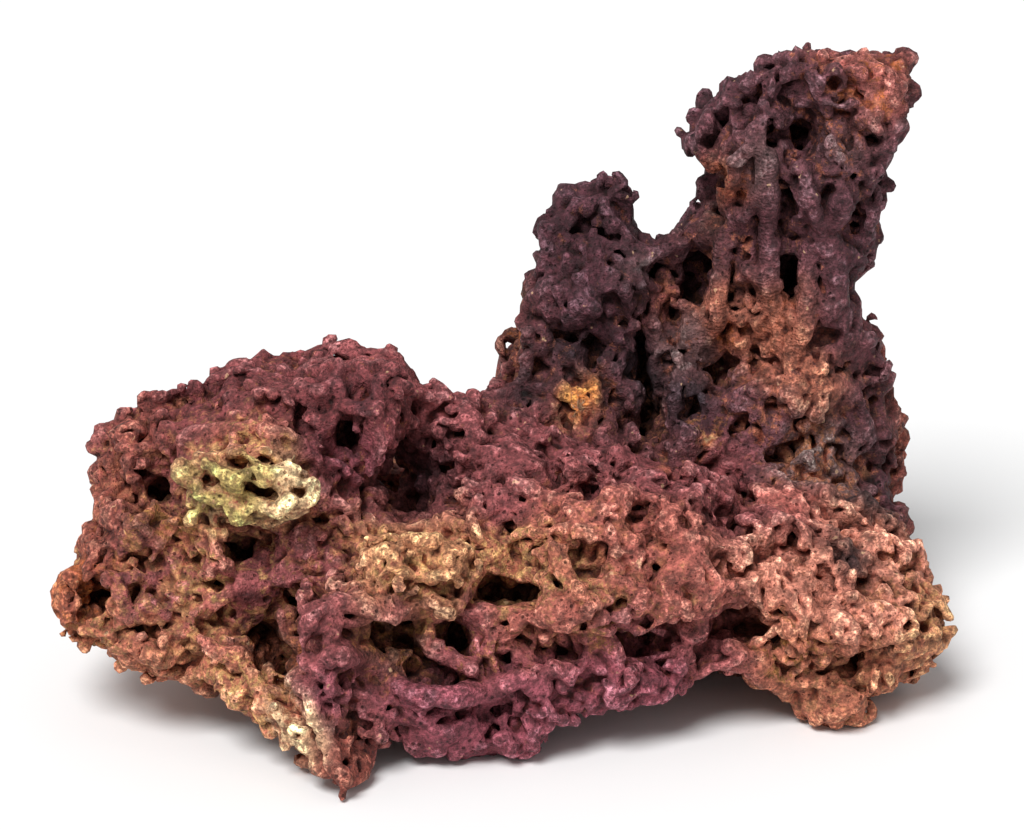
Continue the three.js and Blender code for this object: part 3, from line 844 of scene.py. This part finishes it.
def coralline_crust():
    """Coralline algae in patches over bare porous rock, with ochre in pits, painted shade in pits and deep
    places, and painted highlights and pale flecks on crests.
    """
    material = bpy.data.materials.new("coralline_crust")
    material.use_nodes = True
    desk = NodeDesk(material)
    place = desk.tree.nodes.new("ShaderNodeTexCoord").outputs["Object"]
    proud = desk.attribute("proud", "Fac")
    sheltered = desk.attribute("sheltered", "Fac")
    buried = desk.attribute("buried", "Fac")
    cover = desk.attribute("cover", "Fac")

    # The crust covers more of the crests and less of the pits
    blotches = desk.noise(place, 140, 7.0, 0.8)
    grains = desk.noise(place, 480, 3.0, 0.65)
    reach = desk.math("MULTIPLY_ADD", blotches, 2.2, cover)
    reach = desk.math("MULTIPLY_ADD", sheltered, -0.25, reach)
    reach = desk.math("MULTIPLY_ADD", grains, 0.5, reach)
    covered = desk.range(reach, 1.78, 2.0)
    stained = desk.range(desk.noise(place, 260, 4.0, 0.7), 0.42, 0.6)
    bare = desk.mix(stained, desk.attribute("bare", "Color"), (*linear(COLOURS["salmon"]), 1))
    colour = desk.mix(covered, bare, desk.attribute("crust", "Color"))

    # Ochre dust in sheltered places where the crust is thin
    dusted = desk.math("MULTIPLY", desk.range(sheltered, 0.1, 0.8), desk.math("SUBTRACT", 1.0, covered))
    colour = desk.mix(desk.math("MULTIPLY", dusted, 0.5), colour, (*linear(COLOURS["ochre"]), 1))

    # Uneven growth, lighter and darker
    shade = desk.range(desk.noise(place, 170, 6.0, 0.75), 0.3, 0.7, 0.45, 1.6)
    colour = desk.mix(1.0, colour, shade, "MULTIPLY")
    shade = desk.range(grains, 0.32, 0.68, 0.55, 1.42)
    colour = desk.mix(1.0, colour, shade, "MULTIPLY")

    # Painted shade: darker and redder in pits and pores, nearly black deep inside
    pores = desk.range(desk.cells(place, 300), 0.26, 0.14)
    pores = desk.math("MULTIPLY", pores, desk.range(blotches, 0.48, 0.58))
    fine_pores = desk.range(desk.cells(place, 640), 0.30, 0.14)
    fine_pores = desk.math("MULTIPLY", fine_pores, desk.range(grains, 0.5, 0.6))
    pores = desk.math("MAXIMUM", pores, desk.math("MULTIPLY", fine_pores, 0.8))
    painted_pit_shade = desk.math("MAXIMUM", desk.range(proud, 0.15, -0.7), desk.math("MULTIPLY", pores, 0.8))
    colour = desk.mix(painted_pit_shade, colour, desk.mix(1.0, colour, PIT_SHADE_TINT, "MULTIPLY"))
    deep = desk.range(buried, 0.6, 2.0)
    colour = desk.mix(deep, colour, desk.mix(1.0, colour, DEPTH_SHADE_TINT, "MULTIPLY"))

    # Painted highlights on crests, partly paler worn crust, and a few pale flecks
    worn_crest_and_highlight = desk.math("MULTIPLY", desk.range(proud, 0.2, 0.9), desk.range(grains, 0.45, 0.62))
    colour = desk.mix(worn_crest_and_highlight, colour, desk.mix(1.0, colour, WORN_CREST_AND_HIGHLIGHT_TINT, "MULTIPLY"))
    # Painted highlight on the crests
    crest_highlight = desk.math("MULTIPLY", desk.range(proud, 0.3, 1.0), desk.range(blotches, 0.47, 0.58))
    crest_highlight = desk.math("MULTIPLY", crest_highlight, 0.8)
    colour = desk.mix(crest_highlight, colour, desk.mix(1.0, colour, CREST_HIGHLIGHT_TINT, "MULTIPLY"))
    flecks = desk.range(desk.noise(place, 240, 2.0, 0.5), 0.70, 0.75)
    flecks = desk.math("MULTIPLY", flecks, desk.range(proud, 0.0, 0.4))
    colour = desk.mix(desk.math("MULTIPLY", flecks, 0.6), colour, (*linear(COLOURS["cream"]), 1))
    desk.put(colour, desk.shader.inputs["Base Color"])

    desk.put(desk.range(grains, 0.3, 0.7, 0.62, 0.95), desk.shader.inputs["Roughness"])
    desk.shader.inputs["Specular IOR Level"].default_value = 0.3

    # Grain of the crust, the finest pores, and the rings of the columns
    height = desk.math("MULTIPLY_ADD", pores, -0.8, grains)
    height = desk.math("MULTIPLY_ADD", desk.noise(place, 1300, 2.0, 0.6), 0.5, height)
    height = desk.math("MULTIPLY_ADD", desk.noise(place, 200, 2.0, 0.6), 1.6, height)
    parts = desk.tree.nodes.new("ShaderNodeSeparateXYZ")
    desk.put(place, parts.inputs[0])
    wobble = desk.math("MULTIPLY", desk.noise(place, 220, 2.0, 0.5), 12.0)
    turn = desk.math("MULTIPLY_ADD", parts.outputs["Z"], 2 * math.pi / RING_PITCH, wobble)
    rings = desk.math("MULTIPLY", desk.math("SINE", turn), desk.attribute("ringed", "Fac"))
    height = desk.math("MULTIPLY_ADD", rings, 0.12, height)
    bump = desk.tree.nodes.new("ShaderNodeBump")
    bump.inputs["Strength"].default_value = 1.0
    bump.inputs["Distance"].default_value = 1.4 * MM
    desk.put(height, bump.inputs["Height"])
    desk.put(bump.outputs["Normal"], desk.shader.inputs["Normal"])
    return material


def thinned(piece, most):
    """Thins the piece to a number of triangles, with more left where it bends and on the side in view."""
    now = sum(len(p.vertices) - 2 for p in piece.data.polygons)
    if now <= most:
        return
    outward = np.empty(len(piece.data.vertices) * 3, np.float32)
    piece.data.vertex_normals.foreach_get("vector", outward)
    _, sight = line_of_sight(*PICTURE_MIDDLE)
    away = outward.reshape(-1, 3) @ np.array(sight) > 0.1
    group = piece.vertex_groups.new(name="thin_more")
    group.add(np.flatnonzero(away).tolist(), 1.0, "REPLACE")
    group.add(np.flatnonzero(~away).tolist(), 0.5, "REPLACE")
    thin = piece.modifiers.new("thin", "DECIMATE")
    thin.ratio = most / now
    thin.vertex_group = group.name
    thin.vertex_group_factor = THIN_MORE
    bpy.context.view_layer.update()
    thinner = piece.evaluated_get(bpy.context.evaluated_depsgraph_get())
    fewer = bpy.data.meshes.new_from_object(thinner)
    piece.modifiers.clear()
    piece.vertex_groups.clear()
    old = piece.data
    piece.data = fewer
    bpy.data.meshes.remove(old)


def make_rock(node):
    """The rock with its crust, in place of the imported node."""
    random = np.random.default_rng(SEED)
    low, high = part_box("reef_rock")
    grid = Grid(low, high)
    corners, triangles = merged_copy(node)
    tree = BVHTree.FromPolygons([Vector(c) for c in corners.tolist()], triangles.tolist())
    form = blurred(grid.distances(corners, triangles), FORM_BLUR / GRAIN)
    field = crusted_field(grid, form, tree, random)
    mesh = grid.to_mesh(field, "porous_rock")
    rock = bpy.data.objects.new("porous_rock", mesh)
    bpy.context.scene.collection.objects.link(rock)
    thinned(rock, MOST_TRIANGLES)
    paint(grid, rock.data, form, field, tree, random)
    rock.data.shade_smooth()
    rock.data.materials.append(coralline_crust())
    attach(rock, "root")
    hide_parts("reef_rock")


# The stage


def make_floor():
    bm = bmesh.new()
    bmesh.ops.create_grid(bm, x_segments=1, y_segments=1, size=4.0)
    mesh = bpy.data.meshes.new("floor")
    bm.to_mesh(mesh)
    bm.free()
    floor = bpy.data.objects.new("floor", mesh)
    bpy.context.scene.collection.objects.link(floor)
    material = bpy.data.materials.new("pale_floor")
    material.use_nodes = True
    shader = material.node_tree.nodes["Principled BSDF"]
    shader.inputs["Base Color"].default_value = (0.86, 0.86, 0.86, 1)
    shader.inputs["Roughness"].default_value = 0.9
    mesh.materials.append(material)


def make_camera():
    camera = bpy.data.objects.new("camera", bpy.data.cameras.new("camera"))
    camera.data.lens = LENS
    camera.data.sensor_width = SENSOR
    camera.data.clip_end = 20
    camera.location, sight = line_of_sight(*PICTURE_MIDDLE)
    camera.rotation_euler = sight.to_track_quat("-Z", "Y").to_euler()
    bpy.context.scene.collection.objects.link(camera)
    bpy.context.scene.camera = camera


def make_lights():
    """One very soft sun from the upper left in front, and an even white sky."""
    sun = bpy.data.objects.new("soft_sun", bpy.data.lights.new("soft_sun", "SUN"))
    sun.data.energy = SUN_STRENGTH
    sun.data.angle = SUN_SPREAD
    sun.rotation_euler = SUN_DIRECTION.to_track_quat("-Z", "Y").to_euler()
    bpy.context.scene.collection.objects.link(sun)
    world = bpy.data.worlds.new("studio")
    world.use_nodes = True
    sky = world.node_tree.nodes["Background"]
    sky.inputs["Color"].default_value = (1, 1, 1, 1)
    sky.inputs["Strength"].default_value = SKY_STRENGTH
    bpy.context.scene.world = world
    bpy.context.scene.view_settings.view_transform = "Standard"


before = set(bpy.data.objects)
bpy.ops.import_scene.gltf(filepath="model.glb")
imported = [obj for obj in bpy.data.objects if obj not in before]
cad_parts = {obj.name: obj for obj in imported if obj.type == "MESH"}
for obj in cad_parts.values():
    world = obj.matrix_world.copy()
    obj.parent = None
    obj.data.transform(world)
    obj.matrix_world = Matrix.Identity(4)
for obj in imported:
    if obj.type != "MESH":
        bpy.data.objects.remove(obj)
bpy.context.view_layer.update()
make_camera()
make_rock(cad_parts["reef_rock"])
make_floor()
make_lights()
